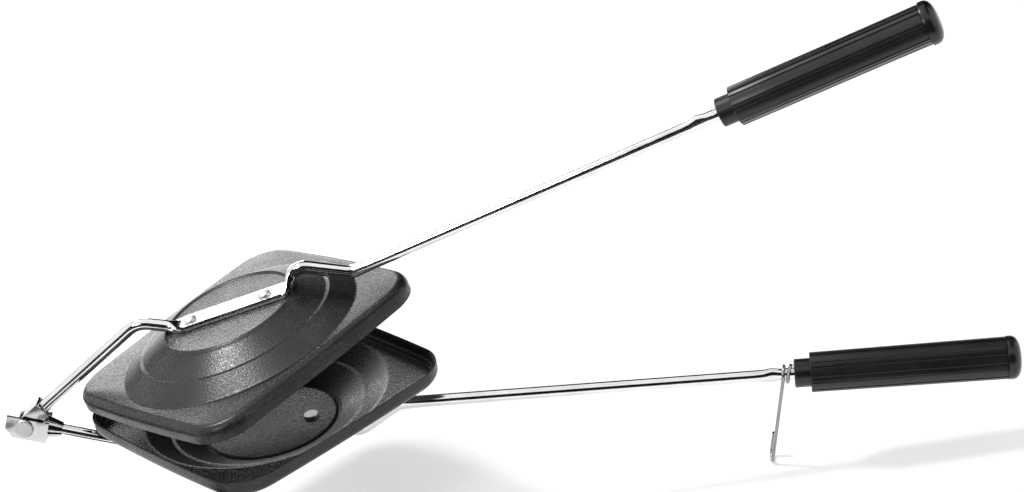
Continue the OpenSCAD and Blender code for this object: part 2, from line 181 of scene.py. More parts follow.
# low cards that the hinge's upright flats mirror
dark_card("fork_left_card", (-0.292, -0.1493, 0.004), (0, 0, 0), (0.016, 0.0075), card_black)
dark_card("fork_right_card", (-0.258, -0.1493, 0.004), (0, 0, 0), (0.026, 0.0075), card_black)
dark_card("lug_card", (-0.274, -0.184, 0.004), (0, 0, 0), (0.060, 0.048), card_grey)
dark_card("lower_leg_card", (-0.190, -0.085, 0.004), (0, 0, 0), (0.12, 0.080), card_black)

# ---- Pans ------------------------------------------------------------------
# Two alike pans pressed from one sheet: upright skirt, rounded shoulder, flange and a round
# stepped dome with a beaded plateau. Their slightly bowed sides stand at 45 degrees to the
# arms. Baked black non-stick coating with a pebbly skin.

PAN_X = 0.1148
PAN_HALF = 0.065
PAN_CORNER_AT = 0.04382
PAN_CORNER_R = 0.0202
PAN_BOW_R = 1.0
PAN_SHEET = 0.0016
RIM_Z = 0.00015
SKIRT_H = 0.008
SHOULDER_R = 0.0044
SHOULDER_STEPS = 7
CORNER_STEPS = 15
SIDE_STEPS = 13
# the dome's half section from the flange to the plateau: radius, height and how round the
# sheet turns there
DOME_LINE = (
    (0.0582, 0.008, 0.0030),
    (0.0475, 0.0141, 0.0012),
    (0.0458, 0.0143, 0.0014),
    (0.0343, 0.0197, 0.0012),
    (0.0320, 0.0212, 0.0012),
    (0.0302, 0.0204, 0.0008),
)
PLATEAU_HOLE_R = 0.001
COATING_BLACK = (0.004, 0.004, 0.0045, 1)
# lighter grey of the cloudy patches, and painted glints on the pebble tops
COATING_PATCH_AND_GLINT_GREY = (0.030, 0.030, 0.031, 1)
CLOUD_SHARE = 0.5

hinge_low, hinge_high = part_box("hinge_rivet")
HINGE_AT = ((hinge_low[0] + hinge_high[0]) / 2, 0, (hinge_low[2] + hinge_high[2]) / 2)
OPEN_ANGLE = -math.radians(frame["record"]["behaviour"]["joints"][0]["range_deg"][0])
LOWER_ARM = Matrix.Translation(HINGE_AT) @ Matrix.Diagonal((1, 1, -1, 1))
UPPER_ARM = Matrix.Translation(HINGE_AT) @ Matrix.Rotation(-OPEN_ANGLE, 4, "Y")


def open_ring(name, points):
    """Starts a piece in edit mode with its first open ring of vertices, in order round Z."""
    bpy.ops.object.select_all(action="DESELECT")
    bpy.ops.mesh.primitive_circle_add(vertices=len(points), radius=1)
    piece = bpy.context.object
    piece.name = name
    piece.data.name = name
    bpy.ops.object.mode_set(mode="EDIT")
    bpy.ops.mesh.select_all(action="SELECT")
    lay_ring(points)
    return piece


def lay_ring(points):
    """Moves the selected ring onto points; both are taken in order round Z."""
    mesh = bpy.context.object.data
    edit = bmesh.from_edit_mesh(mesh)
    ring = sorted((v for v in edit.verts if v.select), key=lambda v: math.atan2(v.co.y, v.co.x))
    for vertex, point in zip(ring, sorted(points, key=lambda p: math.atan2(p[1], p[0]))):
        vertex.co = point
    bmesh.update_edit_mesh(mesh)


def next_ring(points):
    """Extrudes the open ring and lays the new one on points."""
    bpy.ops.mesh.extrude_edges_move()
    lay_ring(points)


def leave_shape(piece, sharp_angle):
    """Ends edit mode: faces outwards, smooth but for the edges sharper than the angle."""
    bpy.ops.mesh.select_all(action="SELECT")
    bpy.ops.mesh.remove_doubles(threshold=1e-6)
    bpy.ops.mesh.normals_make_consistent(inside=False)
    bpy.ops.object.mode_set(mode="OBJECT")
    bpy.ops.object.shade_smooth_by_angle(angle=math.radians(sharp_angle))


def lay_on_arm(piece, name, place, body, node, material):
    """A copy of a bench-shaped piece, laid on an arm in place of its CAD node."""
    bpy.ops.object.select_all(action="DESELECT")
    piece.select_set(True)
    bpy.context.view_layer.objects.active = piece
    bpy.ops.object.duplicate()
    laid = bpy.context.object
    laid.name = name
    laid.data.name = name
    laid.matrix_world = place
    bpy.ops.object.transform_apply(location=True, rotation=True, scale=True)
    if place.determinant() < 0:
        bpy.ops.object.mode_set(mode="EDIT")
        bpy.ops.mesh.select_all(action="SELECT")
        bpy.ops.mesh.flip_normals()
        bpy.ops.object.mode_set(mode="OBJECT")
    laid.data.materials.clear()
    laid.data.materials.append(material)
    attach(laid, body)
    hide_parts(node)
    return laid


def clear_bench(piece):
    """Removes the bench copy once both arms have theirs."""
    bpy.data.objects.remove(piece, do_unlink=True)


def pan_outline(inset, height):
    """The pan's outline in plan, moved in by inset: rounded corners and slightly bowed sides."""
    far_side = PAN_BOW_R - PAN_HALF
    half_turn = math.atan2(PAN_CORNER_AT, PAN_CORNER_AT + far_side)
    points = []
    for side in range(4):
        turn = math.radians(45 + 90 * side)
        arcs = (
            (Vector((-far_side, 0)), PAN_BOW_R - inset, -half_turn, half_turn, SIDE_STEPS),
            (Vector((PAN_CORNER_AT, PAN_CORNER_AT)), PAN_CORNER_R - inset,
             half_turn, math.pi / 2 - half_turn, CORNER_STEPS),
        )
        for centre, radius, start, end, steps in arcs:
            for step in range(steps):
                angle = start + (end - start) * (step + 0.5) / steps
                spot = centre + radius * Vector((math.cos(angle), math.sin(angle)))
                x = spot.x * math.cos(turn) - spot.y * math.sin(turn)
                y = spot.x * math.sin(turn) + spot.y * math.cos(turn)
                points.append((x, y, height))
    return points


def round_ring(like, radius, height):
    """A circle whose points stand at the same bearings as those of another ring."""
    points = []
    for x, y, _ in like:
        bearing = math.atan2(y, x)
        points.append((radius * math.cos(bearing), radius * math.sin(bearing), height))
    return points


def rounded_line(corners, start, end, steps=4):
    """A half-section line through corners, each turned at its own radius: (radius, height)."""
    line = []
    spots = [start] + [(r, z) for r, z, _ in corners] + [end]
    for number, (r, z, turn_r) in enumerate(corners, start=1):
        here = Vector((r, z))
        back = (Vector(spots[number - 1]) - here)
        ahead = (Vector(spots[number + 1]) - here)
        half = back.angle(ahead) / 2
        reach = min(turn_r / math.tan(half), 0.45 * back.length, 0.45 * ahead.length)
        first = here + back.normalized() * reach
        last = here + ahead.normalized() * reach
        for step in range(steps + 1):
            t = step / steps
            line.append(tuple(first * (1 - t) ** 2 + here * 2 * t * (1 - t) + last * t * t))
    return line


EDGE_ROUND = 0.0003
flange_ring = pan_outline(SHOULDER_R, SKIRT_H)
pan = open_ring("pan_on_bench", pan_outline(EDGE_ROUND, 0))
next_ring(pan_outline(0, EDGE_ROUND))
next_ring(pan_outline(0, (SKIRT_H - SHOULDER_R) / 2))
for step in range(SHOULDER_STEPS + 1):
    angle = math.radians(90 * step / SHOULDER_STEPS)
    next_ring(pan_outline(SHOULDER_R * (1 - math.cos(angle)),
                          SKIRT_H - SHOULDER_R + SHOULDER_R * math.sin(angle)))
for radius, height in rounded_line(DOME_LINE, (0.0605, SKIRT_H), (0, DOME_LINE[-1][1])):
    next_ring(round_ring(flange_ring, radius, height))
for radius in (0.02, 0.01, PLATEAU_HOLE_R):
    next_ring(round_ring(flange_ring, radius, DOME_LINE[-1][1]))
bpy.ops.mesh.edge_face_add()
leave_shape(pan, 40)
pan.modifiers.new("sheet", "SOLIDIFY")
pan.modifiers["sheet"].thickness = PAN_SHEET
pan.modifiers["sheet"].offset = -1
pan.modifiers["sheet"].use_even_offset = True
bpy.ops.object.modifier_apply(modifier="sheet")
bpy.ops.object.shade_smooth_by_angle(angle=math.radians(40))
pan.data.transform(Matrix.Translation((PAN_X, 0, RIM_Z)))


def pebbled_coating():
    """Black baked coating: pebbles under a millimetre wide in cloudy patches, with smoother pebble tops;
    the base colour paints glints on the lighter pebble tops and shade in the darker pits.
    """
    material = bpy.data.materials.new("pebbled_coating")
    material.use_nodes = True
    tree = material.node_tree
    bsdf = tree.nodes["Principled BSDF"]
    place = add_node(tree, "ShaderNodeTexCoord")
    pebbles = add_node(tree, "ShaderNodeTexNoise", Scale=1100.0, Detail=2.0, Roughness=0.55)
    clouds = add_node(tree, "ShaderNodeTexNoise", Scale=38.0, Detail=4.0, Roughness=0.6)
    relief = add_node(tree, "ShaderNodeMath", operation="MULTIPLY_ADD")
    relief.inputs[1].default_value = CLOUD_SHARE
    # the tone ramp paints glints and shade: lighter pebble tops as painted glints and darker pits as
    # painted shade, over the coating's own cloudy patches
    tone = add_node(tree, "ShaderNodeValToRGB")
    tone.color_ramp.elements[0].position = 0.66
    tone.color_ramp.elements[0].color = COATING_BLACK
    tone.color_ramp.elements[1].position = 0.90
    tone.color_ramp.elements[1].color = COATING_PATCH_AND_GLINT_GREY
    gloss = add_node(tree, "ShaderNodeMapRange", From_Min=0.64, From_Max=0.88, To_Min=0.38, To_Max=0.22)
    bumps = add_node(tree, "ShaderNodeBump", Strength=0.5, Distance=0.0002)
    for texture in (pebbles, clouds):
        tree.links.new(place.outputs["Object"], texture.inputs["Vector"])
    tree.links.new(clouds.outputs["Fac"], relief.inputs[0])
    tree.links.new(pebbles.outputs["Fac"], relief.inputs[2])
    tree.links.new(relief.outputs["Value"], tone.inputs["Fac"])
    tree.links.new(relief.outputs["Value"], gloss.inputs["Value"])
    tree.links.new(pebbles.outputs["Fac"], bumps.inputs["Height"])
    tree.links.new(tone.outputs["Color"], bsdf.inputs["Base Color"])
    tree.links.new(gloss.outputs["Result"], bsdf.inputs["Roughness"])
    tree.links.new(bumps.outputs["Normal"], bsdf.inputs["Normal"])
    bsdf.inputs["Specular IOR Level"].default_value = 0.42
    return material


coating = pebbled_coating()
lay_on_arm(pan, "lower_coated_pan", LOWER_ARM, "lower_arm", "lower_pan", coating)
lay_on_arm(pan, "upper_coated_pan", UPPER_ARM, "upper_arm", "upper_pan", coating)
clear_bench(pan)

# ---- Rods ------------------------------------------------------------------
# One round spring-steel rod to each arm, drawn straight, pressed flat where it lies on the
# pan, pinched into two small ears ahead of the grip, bent cold and chrome plated.

ROD_R = 0.0028
LEG_RISE = math.radians(22.5)
LEG_FROM = 0.008
RUN_RISE = math.radians(4.75)
RUN_LEN = 0.1834
BAR_Z = 0.0215
BAR_W = 0.0135
BAR_T = 0.0019
RUN_START = Vector((0.1752, 0.019))
ROD_LINE = (
    (Vector((0.0725, 0.0725 * math.tan(LEG_RISE))), 0.012),
    (Vector((0.0886, BAR_Z)), 0.006),
    (Vector((0.1449, BAR_Z)), 0.004),
    (Vector((0.1517, 0.0318)), 0.008),
    (RUN_START, 0.010),
)
GRIP_LEN = 0.0964
POCKET_LEN = 0.0124
TAIL_PAST_SEAT = 0.007
PINCH_BACK = 0.009
PINCH_R = 0.0038
PINCH_T = 0.0042
ROD_SIDES = 32


def along(angle):
    return Vector((math.cos(angle), math.sin(angle)))


def rod_path():
    """The rod's middle line, as (distance, place in XZ, heading) in steps."""
    run_end = RUN_START + along(RUN_RISE) * (RUN_LEN + GRIP_LEN - POCKET_LEN + TAIL_PAST_SEAT)
    corners = [LEG_FROM * along(LEG_RISE)] + [c for c, _ in ROD_LINE] + [run_end]
    line = [(corners[0], LEG_RISE)]
    for number, (corner, radius) in enumerate(ROD_LINE, start=1):
        into = corner - corners[number - 1]
        out_of = corners[number + 1] - corner
        h1, h2 = math.atan2(into.y, into.x), math.atan2(out_of.y, out_of.x)
        reach = radius * math.tan(abs(h2 - h1) / 2)
        first = corner - along(h1) * reach
        side = 1 if h2 > h1 else -1
        centre = first + along(h1 + side * math.pi / 2) * radius
        steps = max(6, int(abs(h2 - h1) / math.radians(6)))
        for step in range(steps + 1):
            heading = h1 + (h2 - h1) * step / steps
            line.append((centre - along(heading + side * math.pi / 2) * radius, heading))
    line.append((run_end, RUN_RISE))
    path, travelled = [], 0.0
    for number, (spot, heading) in enumerate(line):
        if number:
            before, heading_before = line[number - 1]
            gap = (spot - before).length
            parts = max(1, int(gap / 0.0012)) if gap < 0.06 else max(1, int(gap / 0.004))
            for part in range(1, parts):
                t = part / parts
                path.append((travelled + gap * t, before.lerp(spot, t), heading_before))
            travelled += gap
        path.append((travelled, spot, heading))
    return path


ROD_PATH = rod_path()


def distance_at(corner):
    """How far along the rod the point nearest to a corner is."""
    return min(ROD_PATH, key=lambda station: (station[1] - corner).length)[0]


LAND_S = distance_at(ROD_LINE[1][0])
LEAVE_S = distance_at(ROD_LINE[2][0])
TOP_S = distance_at(ROD_LINE[3][0])
LOW_S = distance_at(ROD_LINE[4][0])
PINCH_S = LOW_S + RUN_LEN - PINCH_BACK


def blend(value, stops):
    """Smooth steps between (distance, size) stops."""
    for (s1, a), (s2, b) in zip(stops, stops[1:]):
        if value <= s2:
            t = min(max((value - s1) / (s2 - s1), 0), 1)
            return a + (b - a) * t * t * (3 - 2 * t)
    return stops[-1][1]


def rod_section(s):
    """Width across, thickness and squareness of the rod at a distance."""
    width = blend(s, ((LAND_S - 0.004, 2 * ROD_R), (LAND_S + 0.005, BAR_W), (LEAVE_S + 0.001, BAR_W),
                      (TOP_S - 0.001, 0.0060), (LOW_S - 0.002, 0.0054), (LOW_S + 0.012, 2 * ROD_R)))
    thick = blend(s, ((LAND_S - 0.005, 2 * ROD_R), (LAND_S + 0.004, BAR_T), (LEAVE_S + 0.002, BAR_T),
                      (TOP_S - 0.001, 0.0060), (LOW_S - 0.002, 0.0060), (LOW_S + 0.012, 2 * ROD_R)))
    square = blend(s, ((LAND_S - 0.004, 2), (LAND_S + 0.004, 9), (LEAVE_S + 0.001, 9),
                       (TOP_S - 0.001, 2.6), (LOW_S, 2.6), (LOW_S + 0.012, 2)))
    from_pinch = abs(s - PINCH_S)
    if from_pinch < PINCH_R:
        ear = math.sqrt(PINCH_R ** 2 - from_pinch ** 2)
        thick = max(thick, 2 * ear)
        width = blend(from_pinch, ((PINCH_R * 0.45, PINCH_T), (PINCH_R, 2 * ROD_R)))
    return width, thick, square


def ring_spot(angle, width, thick, square):
    """A point of a section between an ellipse and a rectangle."""
    c, s = math.cos(angle), math.sin(angle)
    scale = (abs(c) ** square + abs(s) ** square) ** (-1 / square)
    return width / 2 * c * scale, thick / 2 * s * scale


def rod_ring(s):
    """The straight rod's ring at a distance, standing along Z."""
    width, thick, square = rod_section(s)
    points = []
    for number in range(ROD_SIDES):
        across, up = ring_spot((number + 0.5) * 2 * math.pi / ROD_SIDES, width, thick, square)
        points.append((up, across, s))
    return points


def bend_rod(piece):
    """Bends the straight rod along its line, flush underneath where it lies on the pan."""
    floor_z = BAR_Z - BAR_T / 2
    bead_from = PAN_X - DOME_LINE[4][0] + 0.002
    stations = {round(s, 7): (spot, heading) for s, spot, heading in ROD_PATH}
    for vertex in piece.data.vertices:
        up, across, s = vertex.co
        spot, heading = stations[min(stations, key=lambda known: abs(known - s))]
        place = spot + up * along(heading + math.pi / 2)
        if place.x > bead_from and s < LEAVE_S:
            place.y = max(place.y, floor_z)
        vertex.co = (place.x, across, place.y)


rod = open_ring("rod_on_bench", rod_ring(0))
for s, _, _ in ROD_PATH[1:]:
    next_ring(rod_ring(s))
bpy.ops.mesh.edge_face_add()
bpy.ops.mesh.select_all(action="DESELECT")
bpy.ops.mesh.select_non_manifold(extend=False)
bpy.ops.mesh.edge_face_add()
bpy.ops.object.mode_set(mode="OBJECT")
bend_rod(rod)
bpy.ops.object.mode_set(mode="EDIT")
leave_shape(rod, 48)


def plating(name, tint, rough, grain):
    """Bright plate over drawn steel: faint draw lines and finger haze."""
    material = bpy.data.materials.new(name)
    material.use_nodes = True
    tree = material.node_tree
    bsdf = tree.nodes["Principled BSDF"]
    bsdf.inputs["Metallic"].default_value = 1.0
    place = add_node(tree, "ShaderNodeTexCoord")
    stretch = add_node(tree, "ShaderNodeMapping")
    stretch.inputs["Scale"].default_value = (1, 12, 12)
    lines = add_node(tree, "ShaderNodeTexNoise", Scale=180.0, Detail=3.0)
    haze = add_node(tree, "ShaderNodeTexNoise", Scale=60.0, Detail=4.0)
    tone = add_node(tree, "ShaderNodeValToRGB")
    tone.color_ramp.elements[0].position = 0.3
    tone.color_ramp.elements[0].color = [0.86 * c for c in tint] + [1]
    tone.color_ramp.elements[1].position = 0.62
    tone.color_ramp.elements[1].color = list(tint) + [1]
    gloss = add_node(tree, "ShaderNodeMapRange", From_Min=0.3, From_Max=0.75,
                    To_Min=rough, To_Max=2 * rough)
    bumps = add_node(tree, "ShaderNodeBump", Strength=grain, Distance=0.0001)
    tree.links.new(place.outputs["Object"], stretch.inputs["Vector"])
    tree.links.new(stretch.outputs["Vector"], lines.inputs["Vector"])
    tree.links.new(place.outputs["Object"], haze.inputs["Vector"])
    tree.links.new(haze.outputs["Fac"], tone.inputs["Fac"])
    tree.links.new(haze.outputs["Fac"], gloss.inputs["Value"])
    tree.links.new(lines.outputs["Fac"], bumps.inputs["Height"])
    tree.links.new(tone.outputs["Color"], bsdf.inputs["Base Color"])
    tree.links.new(gloss.outputs["Result"], bsdf.inputs["Roughness"])
    tree.links.new(bumps.outputs["Normal"], bsdf.inputs["Normal"])
    return material


rod_plate = plating("rod_plate", (0.88, 0.885, 0.895), 0.07, 0.06)
lay_on_arm(rod, "lower_bent_rod", LOWER_ARM, "lower_arm", "lower_rod", rod_plate)
lay_on_arm(rod, "upper_bent_rod", UPPER_ARM, "upper_arm", "upper_rod", rod_plate)
clear_bench(rod)

# ---- Pan rivets ------------------------------------------------------------
# Two steel rivets hold each rod's flat to its pan: a low dome head on the rod, and a flat
# closing head, hammered over, inside the pan.

RIVET_DX = 0.0188
RIVET_R = 0.002
RIVET_HEAD_R = 0.0032
RIVET_HEAD_H = 0.002
RIVET_FOOT_R = 0.0035
RIVET_FOOT_H = 0.0012
ROUND_SIDES = 48


def turned_piece(name, line, sides=ROUND_SIDES, sharp_angle=40):
    """A lathe-turned closed piece about Z, from its half section of (radius, height)."""
    def ring(radius, height):
        turns = [(k + 0.5) * 2 * math.pi / sides for k in range(sides)]
        return [(radius * math.cos(a), radius * math.sin(a), height) for a in turns]
    piece = open_ring(name, ring(*line[0]))
    bpy.ops.mesh.edge_face_add()
    for radius, height in line[1:]:
        next_ring(ring(radius, height))
    bpy.ops.mesh.edge_face_add()
    leave_shape(piece, sharp_angle)
    return piece


def dome_line(radius, low, high, steps=7, edge=0.25):
    """A half section that rises from a short upright edge to a flat-topped dome."""
    line = [(radius, low), (radius, low + edge * (high - low))]
    start = low + edge * (high - low)
    for step in range(1, steps + 1):
        angle = math.radians(86 * step / steps)
        line.append((radius * math.cos(angle), start + (high - start) * math.sin(angle)))
    return line


bar_top = BAR_Z + BAR_T / 2
pan_inside = RIM_Z + DOME_LINE[-1][1] - PAN_SHEET
rivet = turned_piece("rivet_on_bench", [
    (RIVET_FOOT_R - 0.0003, pan_inside - RIVET_FOOT_H), (RIVET_FOOT_R, pan_inside - RIVET_FOOT_H + 0.0003),
    (RIVET_FOOT_R, pan_inside), (RIVET_R, pan_inside), (RIVET_R, bar_top),
] + dome_line(RIVET_HEAD_R, bar_top, bar_top + RIVET_HEAD_H))


def worked_steel(name, tint, rough):
    """Plain zinc-plated steel: soft sheen, small dents and a duller, darker patchwork."""
    material = bpy.data.materials.new(name)
    material.use_nodes = True
    tree = material.node_tree
    bsdf = tree.nodes["Principled BSDF"]
    bsdf.inputs["Metallic"].default_value = 1.0
    place = add_node(tree, "ShaderNodeTexCoord")
    patches = add_node(tree, "ShaderNodeTexNoise", Scale=240.0, Detail=4.0)
    dents = add_node(tree, "ShaderNodeTexNoise", Scale=420.0, Detail=2.0)
    tone = add_node(tree, "ShaderNodeValToRGB")
    tone.color_ramp.elements[0].position = 0.3
    tone.color_ramp.elements[0].color = [0.7 * c for c in tint] + [1]
    tone.color_ramp.elements[1].position = 0.7
    tone.color_ramp.elements[1].color = list(tint) + [1]
    gloss = add_node(tree, "ShaderNodeMapRange", From_Min=0.3, From_Max=0.7,
                    To_Min=rough, To_Max=1.6 * rough)
    bumps = add_node(tree, "ShaderNodeBump", Strength=0.18, Distance=0.0002)
    for texture in (patches, dents):
        tree.links.new(place.outputs["Object"], texture.inputs["Vector"])
    tree.links.new(patches.outputs["Fac"], tone.inputs["Fac"])
    tree.links.new(patches.outputs["Fac"], gloss.inputs["Value"])
    tree.links.new(dents.outputs["Fac"], bumps.inputs["Height"])
    tree.links.new(tone.outputs["Color"], bsdf.inputs["Base Color"])
    tree.links.new(gloss.outputs["Result"], bsdf.inputs["Roughness"])
    tree.links.new(bumps.outputs["Normal"], bsdf.inputs["Normal"])
    return material


rivet_steel = worked_steel("rivet_steel", (0.86, 0.86, 0.87), 0.34)
for end, dx in (("front", -RIVET_DX), ("rear", RIVET_DX)):
    spot = Matrix.Translation((PAN_X + dx, 0, 0))
    for arm, place in (("lower", LOWER_ARM), ("upper", UPPER_ARM)):
        lay_on_arm(rivet, f"{arm}_{end}_pan_rivet", place @ spot, f"{arm}_arm",
                   f"{arm}_{end}_rivet", rivet_steel)
clear_bench(rivet)

# ---- Hinge -----------------------------------------------------------------
# A pressed channel folded round the upper rod's end turns inside a pressed fork that is
# crimped round the lower rod's end, on one steel rivet. Both brackets are chrome plated.

BRACKET_EDGE = 0.00025


def true_flats(piece):
    """Lets the broad flats of a piece mirror as flats up to their soft edges."""
    flats = piece.modifiers.new("true_flats", "WEIGHTED_NORMAL")
    flats.keep_sharp = True
    flats.weight = 100
    bpy.ops.object.modifier_apply(modifier="true_flats")


def softened_copy(node, name, edge, sharp_angle):
    """A merged copy of a CAD node with its sheared edges broken."""
    bpy.ops.object.select_all(action="DESELECT")
    source = frame["nodes"][node]
    source.select_set(True)
    bpy.context.view_layer.objects.active = source
    bpy.ops.object.duplicate()
    piece = bpy.context.object
    piece.name = name
    piece.data.name = name
    bpy.ops.object.mode_set(mode="EDIT")
    bpy.ops.mesh.select_all(action="SELECT")
    bpy.ops.mesh.remove_doubles(threshold=2e-6)
    bpy.ops.mesh.dissolve_limited(angle_limit=math.radians(1))
    bpy.ops.object.mode_set(mode="OBJECT")
    bevel = piece.modifiers.new("broken_edges", "BEVEL")
    bevel.width = edge
    bevel.segments = 2
    bevel.limit_method = "ANGLE"
    bevel.angle_limit = math.radians(sharp_angle)
    bevel.use_clamp_overlap = True
    bpy.ops.object.modifier_apply(modifier="broken_edges")
    bpy.ops.object.shade_smooth_by_angle(angle=math.radians(38))
    true_flats(piece)
    return piece


bracket_plate = plating("bracket_plate", (0.60, 0.605, 0.615), 0.05, 0.03)
for node, name, body in (("hinge_fork", "hinge_fork_pressing", "lower_arm"),
                         ("hinge_lug", "hinge_lug_pressing", "upper_arm")):
    bracket = softened_copy(node, name, BRACKET_EDGE, 50)
    bracket.data.materials.clear()
    bracket.data.materials.append(bracket_plate)
    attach(bracket, body)
    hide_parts(node)

PIN_R = 0.002
PIN_HEAD_R = 0.0046
PIN_HEAD_T = 0.0013
PIN_FOOT_R = 0.003
PIN_FOOT_T = 0.0012
FORK_HALF = (hinge_high[1] - hinge_low[1] - PIN_HEAD_T - PIN_FOOT_T) / 2
# turned about Z with the flat head at the bottom, then laid across the hinge, head in front
hinge_pin = turned_piece("hinge_pin_on_bench", [
    (PIN_HEAD_R - 0.0009, -FORK_HALF - PIN_HEAD_T),
    (PIN_HEAD_R - 0.0003, -FORK_HALF - PIN_HEAD_T + 0.00015),
    (PIN_HEAD_R, -FORK_HALF - PIN_HEAD_T + 0.0006), (PIN_HEAD_R, -FORK_HALF),
    (PIN_R, -FORK_HALF), (PIN_R, FORK_HALF),
] + dome_line(PIN_FOOT_R, FORK_HALF, FORK_HALF + PIN_FOOT_T))
true_flats(hinge_pin)
ACROSS_HINGE = Matrix.Translation(HINGE_AT) @ Matrix.Rotation(math.radians(-90), 4, "X")
hinge_rivet_steel = worked_steel("hinge_rivet_steel", (0.72, 0.72, 0.73), 0.28)
lay_on_arm(hinge_pin, "hinge_rivet_pin", ACROSS_HINGE, "lower_arm", "hinge_rivet", hinge_rivet_steel)
clear_bench(hinge_pin)

# ---- Grips -----------------------------------------------------------------
# Hollow mouldings of black heat-resistant plastic, slightly oval and a little thicker towards
# the cap, with a plain collar in front and pairs of fine grooves that leave a bead between
# them all round.

COLLAR_R = 0.0066
COLLAR_LEN = 0.0074
BODY_LEN = 0.089
BODY_R1 = 0.0092
BODY_R2 = 0.0097
FLAT_HALF = 0.0086
FLAT_R = 0.030
GROOVE_PAIRS = 8
GROOVE_R = 0.0006
GROOVE_SPLIT = 4
SAMPLES = 24
BORE_R = 0.00283
POCKET_R = 0.006
END_ROUND = 0.0004
LOWER_TURN = math.radians(-64)
UPPER_TURN = math.radians(-40)


def body_radius(angle, t):
    """The oval body's radius at an angle from its flatter side, t along its length."""
    sunk = FLAT_R - FLAT_HALF
    flat = math.sqrt(FLAT_R ** 2 - (sunk * math.sin(angle)) ** 2) - sunk * abs(math.cos(angle))
    return min(BODY_R1 + (BODY_R2 - BODY_R1) * t, flat)


def groove_depth(number):
    """Depth of the grooves at one of the samples round the body."""
    from_rib = (number % SAMPLES) - SAMPLES // 2
    from_groove = abs(abs(from_rib) - GROOVE_SPLIT)
    reach = from_groove * 2 * math.pi / (SAMPLES * GROOVE_PAIRS) * BODY_R1
    return math.sqrt(GROOVE_R ** 2 - reach ** 2) if reach < GROOVE_R else 0.0


def body_ring(t, draw_in=0.0):
    count = SAMPLES * GROOVE_PAIRS
    points = []
    for number in range(count):
        angle = 2 * math.pi * number / count + 1e-4
        radius = body_radius(angle, t) - groove_depth(number) - draw_in
        points.append((radius * math.cos(angle), radius * math.sin(angle), COLLAR_LEN + t * BODY_LEN))
    return points


def plain_ring(radius, height):
    count = SAMPLES * GROOVE_PAIRS
    turns = [2 * math.pi * k / count + 1e-4 for k in range(count)]
    return [(radius * math.cos(a), radius * math.sin(a), height) for a in turns]


seat = GRIP_LEN - POCKET_LEN
grip = open_ring("grip_on_bench", plain_ring(BORE_R, seat))
for ring in (
    plain_ring(BORE_R, 0.0002), plain_ring(BORE_R + 0.0002, 0),
    plain_ring(COLLAR_R - END_ROUND, 0), plain_ring(COLLAR_R, END_ROUND),
    plain_ring(COLLAR_R, COLLAR_LEN), body_ring(0, 2 * END_ROUND), body_ring(0, END_ROUND / 2),
    body_ring(0.3 * END_ROUND / BODY_LEN, END_ROUND / 5), body_ring(END_ROUND / BODY_LEN),
    body_ring(0.25), body_ring(0.5), body_ring(0.75), body_ring(1 - 0.0002 / BODY_LEN),
    body_ring(1, 0.0002), plain_ring(POCKET_R, GRIP_LEN), plain_ring(POCKET_R, seat),
    plain_ring(BORE_R, seat),
):
    next_ring(ring)
leave_shape(grip, 28)


def moulded_black(name, tone, rough, grain):
    """Black moulded plastic: a fine spark-eroded skin that handling has polished in places."""
    material = bpy.data.materials.new(name)
    material.use_nodes = True
    tree = material.node_tree
    bsdf = tree.nodes["Principled BSDF"]
    place = add_node(tree, "ShaderNodeTexCoord")
    skin = add_node(tree, "ShaderNodeTexNoise", Scale=2200.0, Detail=2.0)
    wear = add_node(tree, "ShaderNodeTexNoise", Scale=55.0, Detail=5.0, Roughness=0.6)
    shade = add_node(tree, "ShaderNodeValToRGB")
    shade.color_ramp.elements[0].position = 0.35
    shade.color_ramp.elements[0].color = (tone, tone, tone * 1.05, 1)
    shade.color_ramp.elements[1].position = 0.75
    shade.color_ramp.elements[1].color = (tone * 2.2, tone * 2.2, tone * 2.3, 1)
    gloss = add_node(tree, "ShaderNodeMapRange", From_Min=0.3, From_Max=0.7,
                    To_Min=rough, To_Max=rough + 0.12)
    bumps = add_node(tree, "ShaderNodeBump", Strength=grain, Distance=0.0001)
    for texture in (skin, wear):
        tree.links.new(place.outputs["Object"], texture.inputs["Vector"])
    tree.links.new(wear.outputs["Fac"], shade.inputs["Fac"])
    tree.links.new(wear.outputs["Fac"], gloss.inputs["Value"])
    tree.links.new(skin.outputs["Fac"], bumps.inputs["Height"])
    tree.links.new(shade.outputs["Color"], bsdf.inputs["Base Color"])
    tree.links.new(gloss.outputs["Result"], bsdf.inputs["Roughness"])
    tree.links.new(bumps.outputs["Normal"], bsdf.inputs["Normal"])
    bsdf.inputs["Specular IOR Level"].default_value = 0.5
    return material


grip_black = moulded_black("grip_black", 0.006, 0.27, 0.15)
# from upright, collar down, to lying along the rod's run
ALONG_RUN = (Matrix.Translation((RUN_START.x, 0, RUN_START.y)) @ Matrix.Rotation(-RUN_RISE, 4, "Y")
             @ Matrix.Translation((RUN_LEN, 0, 0)))
LAY_DOWN = Matrix.Rotation(math.radians(90), 4, "Y")
# the mould's flatter sides face up and down before the turn about the rod
FLATS_UP = Matrix.Rotation(math.radians(180), 4, "Z")
for arm, place, turn in (("lower", LOWER_ARM, LOWER_TURN), ("upper", UPPER_ARM, UPPER_TURN)):
    spot = place @ ALONG_RUN @ Matrix.Rotation(turn, 4, "X") @ LAY_DOWN @ FLATS_UP
    lay_on_arm(grip, f"{arm}_moulded_grip", spot, f"{arm}_arm", f"{arm}_grip", grip_black)
clear_bench(grip)

# ---- Grip washers and nuts -------------------------------------------------
# Inside each grip a washer and a hexagon nut on the rod's threaded tail pull the moulding
# tight. The cap hides them, so the solids stay and get their steel.

fixing_steel = worked_steel("fixing_steel", (0.74, 0.74, 0.75), 0.25)
for node in ("lower_grip_washer", "upper_grip_washer", "lower_grip_nut", "upper_grip_nut"):
    fixing = frame["nodes"][node]
    fixing.data.materials.clear()
    fixing.data.materials.append(fixing_steel)

# ---- End caps --------------------------------------------------------------
# A moulded plug closes each grip: its lip stands a little proud of the body, and its low dome
# is a shade glossier than the grip.

